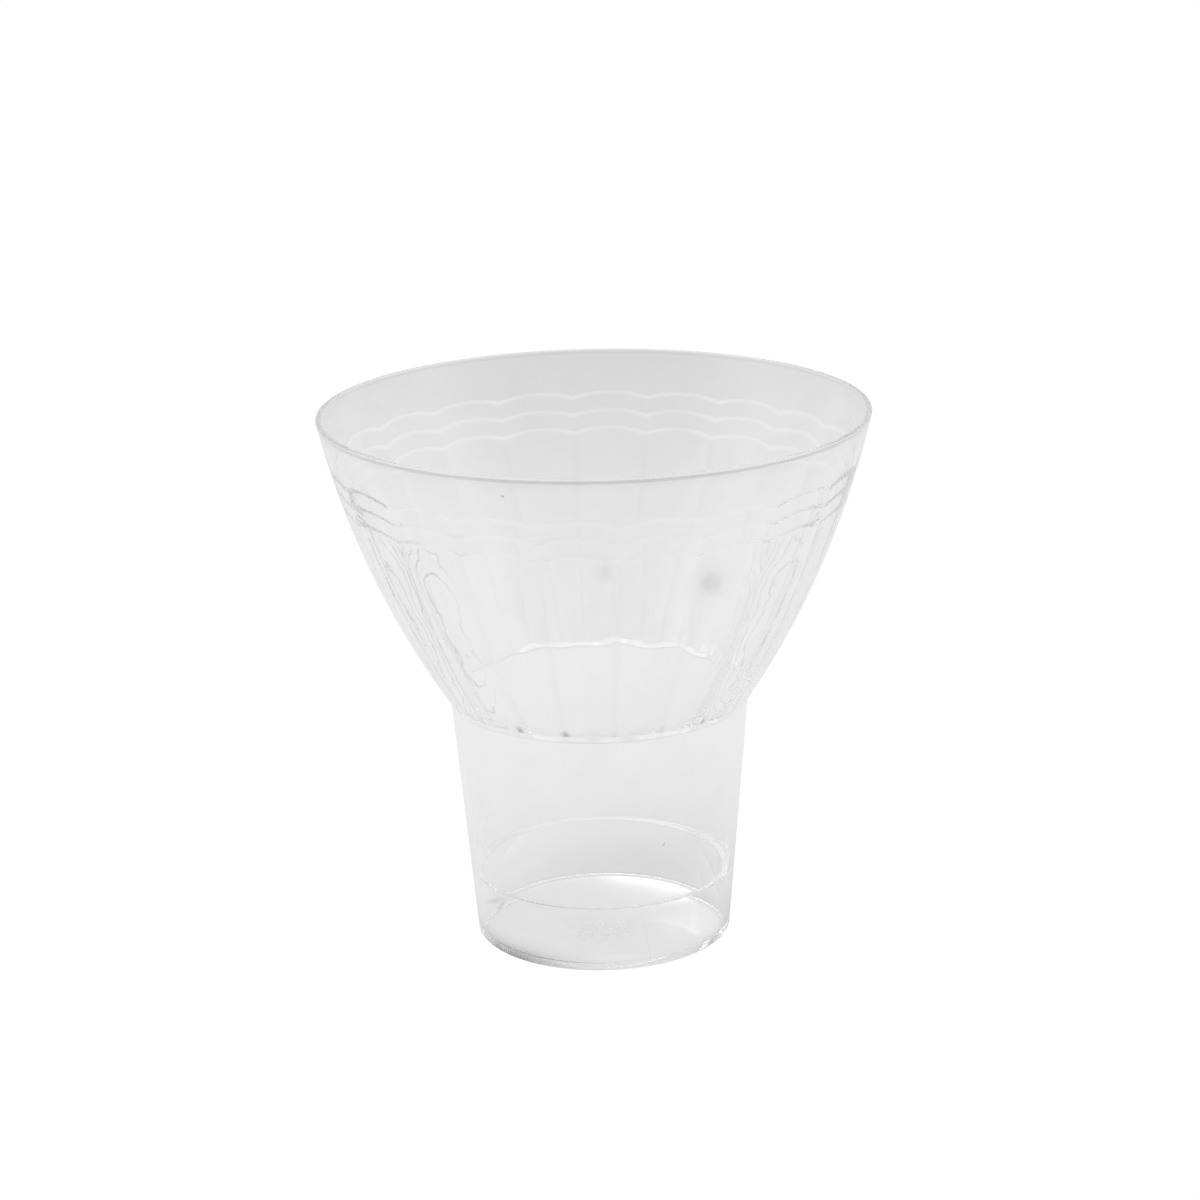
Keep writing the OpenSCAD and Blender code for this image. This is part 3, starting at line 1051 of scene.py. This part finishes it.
# %% Lamp
def softbox(name, azimuth, elevation, tilt, distance, width, height, watts):
    """An area lamp at azimuth (0 is in front, positive to the right) and elevation, both in degrees,
    that faces the cup's middle. Its long side is level before it turns by the tilt. Its distance and
    its sides are in metres."""
    a, e = np.radians(azimuth), np.radians(elevation)
    away = np.array([np.sin(a) * np.cos(e), -np.cos(a) * np.cos(e), np.sin(e)])
    lamp = bpy.data.lights.new(name, "AREA")
    lamp.shape = "RECTANGLE"
    lamp.size, lamp.size_y, lamp.energy = width, height, watts
    box = bpy.data.objects.new(name, lamp)
    level = np.cross([0, 0, 1], away)
    level /= np.linalg.norm(level)
    upright = np.cross(away, level)
    c, s = np.cos(np.radians(tilt)), np.sin(np.radians(tilt))
    place = np.eye(4)
    place[:3, 0] = c * level + s * upright
    place[:3, 1] = c * upright - s * level
    place[:3, 2] = away
    place[:3, 3] = away * distance + np.array([0, 0, CUP_H / 2])
    box.matrix_world = Matrix(place.tolist())
    box.visible_glossy = False
    bpy.context.scene.collection.objects.link(box)
    return box


KEY = {"azimuth": -76, "elevation": 55.5, "tilt": 31, "distance": 1.2}
KEY_SIDES = {"width": 2.3, "height": 0.24, "watts": 18.0}
FILL = {"azimuth": 24, "elevation": 63, "tilt": 4, "distance": 1.2}
FILL_SIDES = {"width": 1.6, "height": 0.2, "watts": 8.0}
softbox("key_box", **KEY, **KEY_SIDES)
softbox("fill_box", **FILL, **FILL_SIDES)
print("lamps: 2 softboxes, at", KEY["azimuth"], "and", FILL["azimuth"], "degrees from the front")

# %% [markdown]
# ## Camera
# The camera was found by fitting a pinhole camera to the lip's ellipse, the sill, the foot's edge and
# the outline in the photograph. The fit gives its distance, height, pitch, a slight roll, a still
# slighter turn to the side and the focal length in pixels. No sensor shift is needed.

# %% Camera
CAM_DISTANCE = 477.45 * MM
CAM_HEIGHT = 204.1 * MM
CAM_PITCH = np.radians(17.12)
CAM_ROLL = np.radians(-1.18)
CAM_YAW = np.radians(0.047)
CAM_FOCAL_PX = 3027.1
PHOTO_PX = 1200
SENSOR = 36.0

level = np.cos(CAM_PITCH)
forward = np.array([np.sin(CAM_YAW) * level, np.cos(CAM_YAW) * level, -np.sin(CAM_PITCH)])
right = np.array([np.cos(CAM_YAW), -np.sin(CAM_YAW), 0])
up = np.cross(right, forward)
rolled_right = np.cos(CAM_ROLL) * right + np.sin(CAM_ROLL) * up
rolled_up = -np.sin(CAM_ROLL) * right + np.cos(CAM_ROLL) * up
place = np.eye(4)
place[:3, 0], place[:3, 1], place[:3, 2] = rolled_right, rolled_up, -forward
place[:3, 3] = 0, -CAM_DISTANCE, CAM_HEIGHT
camera = bpy.data.objects.new("camera", bpy.data.cameras.new("camera"))
camera.data.sensor_width = SENSOR
camera.data.lens = SENSOR * CAM_FOCAL_PX / PHOTO_PX
camera.matrix_world = Matrix(place.tolist())
bpy.context.scene.collection.objects.link(camera)
bpy.context.scene.camera = camera
print(f"camera: {camera.data.lens:.1f} mm lens, {CAM_DISTANCE / MM:.0f} mm in front of the axis")

# %% [markdown]
# ## Rays and tones
# A ray caught in a thin clear wall bounces hundreds of times before it gets out. With the usual limit
# of a dozen bounces it is dropped and counts as black, so the limits are very high here. Single rays
# that find a lamp by chance would leave white dots, so each one's brightness is capped, just above
# the level that the bright band needs. The Standard view keeps the white ground white.

# %% Rays and tones
BOUNCES = 1000
SHADOW_LAYERS = 16
BRIGHTEST = 1.8

scene = bpy.context.scene
scene.cycles.max_bounces = BOUNCES
scene.cycles.transmission_bounces = BOUNCES
scene.cycles.glossy_bounces = BOUNCES
scene.cycles.transparent_max_bounces = SHADOW_LAYERS
scene.cycles.sample_clamp_indirect = BRIGHTEST
scene.view_settings.view_transform = "Standard"
